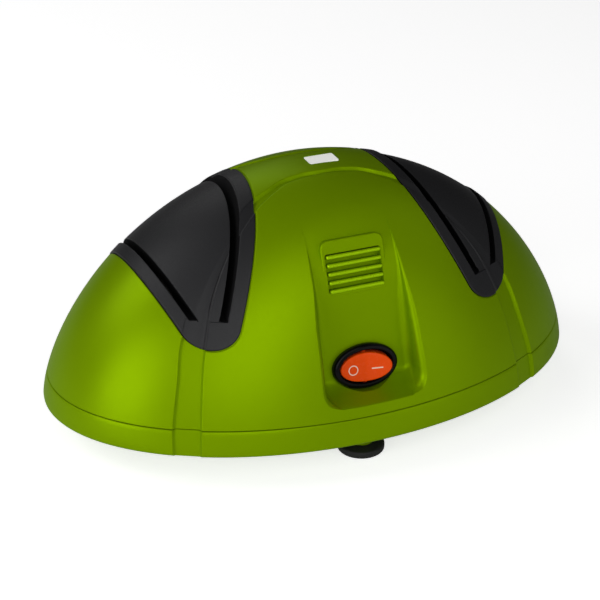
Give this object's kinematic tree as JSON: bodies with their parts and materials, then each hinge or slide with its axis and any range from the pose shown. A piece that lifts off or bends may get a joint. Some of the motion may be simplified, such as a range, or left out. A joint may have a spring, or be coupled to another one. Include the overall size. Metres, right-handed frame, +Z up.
{
  "type": "electric knife sharpener",
  "caption": "Low green dome-shaped electric knife sharpener with black V-shaped blade guides near its ends, a front recess with an orange rocker switch, and short feet.",
  "frame": {"origin": "centre of the object's outline, on the table under the feet", "axes": "+X along the housing towards the right-hand guide as seen from the switch, -Y towards the switch, +Z up"},
  "size_m": [0.22, 0.1396, 0.1006],
  "materials": {
    "green_plastic": "satin green moulded plastic",
    "black_plastic": "matt black moulded plastic",
    "gloss_black": "glossy black plastic",
    "orange_plastic": "glossy orange plastic",
    "white_plastic": "white plastic",
    "grey_plastic": "grey plastic case",
    "black_rubber": "black rubber",
    "steel": "turned steel",
    "zinc_steel": "zinc-plated sheet steel",
    "copper": "enamelled copper",
    "brass": "brass",
    "ferrite": "dark ferrite",
    "carbon": "black carbon and epoxy",
    "abrasive": "bonded grey abrasive",
    "board_green": "green board laminate",
    "blue_lead": "blue insulated lead",
    "brown_lead": "brown insulated lead"
  },
  "bodies": {
    "housing": {"upper_housing": "green_plastic", "base_tray": "green_plastic", "right_guide_insert": "black_plastic", "left_guide_insert": "black_plastic", "motor_cap": "black_plastic", "switch_body": "gloss_black", "top_plate": "white_plastic", "terminal_block": "white_plastic", "capacitor": "grey_plastic", "foot_front": "black_rubber", "foot_rear": "black_rubber", "foot_left": "black_rubber", "foot_right": "black_rubber", "cord_gland": "black_rubber", "bearing_left": "steel", "bearing_right": "steel", "motor_can": "zinc_steel", "motor_strap_left": "zinc_steel", "motor_strap_right": "zinc_steel", "housing_screw_front_left": "zinc_steel", "housing_screw_front_right": "zinc_steel", "housing_screw_rear_left": "zinc_steel", "housing_screw_rear_right": "zinc_steel", "strap_screw_left_front": "zinc_steel", "strap_screw_left_rear": "zinc_steel", "strap_screw_right_front": "zinc_steel", "strap_screw_right_rear": "zinc_steel", "board_screw_left": "zinc_steel", "board_screw_right": "zinc_steel", "switch_terminal_left": "brass", "switch_terminal_right": "brass", "brush_tab_front": "brass", "brush_tab_rear": "brass", "magnet_upper": "ferrite", "magnet_lower": "ferrite", "brush_front": "carbon", "brush_rear": "carbon", "bridge_rectifier": "carbon", "circuit_board": "board_green", "lead_block_to_board": "blue_lead", "lead_board_to_brush_rear": "blue_lead", "lead_block_to_switch": "brown_lead", "lead_switch_to_board": "brown_lead", "lead_board_to_brush_front": "brown_lead"},
    "rotor": {"rotor_shaft": "steel", "armature_core": "zinc_steel", "armature_winding": "copper", "commutator": "copper", "cooling_fan": "black_plastic", "wheel_hub_left": "steel", "wheel_hub_right": "steel", "grinding_wheel_left": "abrasive", "grinding_wheel_right": "abrasive", "wheel_washer_left": "zinc_steel", "wheel_washer_right": "zinc_steel", "wheel_nut_left": "steel", "wheel_nut_right": "steel"},
    "rocker": {"switch_rocker": "orange_plastic"}
  },
  "joints": [
    {"name": "rotor_spin", "type": "hinge", "parent": "housing", "child": "rotor", "pos_m": [0, 0, 0.0437], "axis": [1, 0, 0], "continuous": true},
    {"name": "rocker_tilt", "type": "hinge", "parent": "housing", "child": "rocker", "pos_m": [0, -0.05214, 0.03719], "axis": [0, 0.2317, 0.9728], "range_deg": [0, 20]}
  ]
}
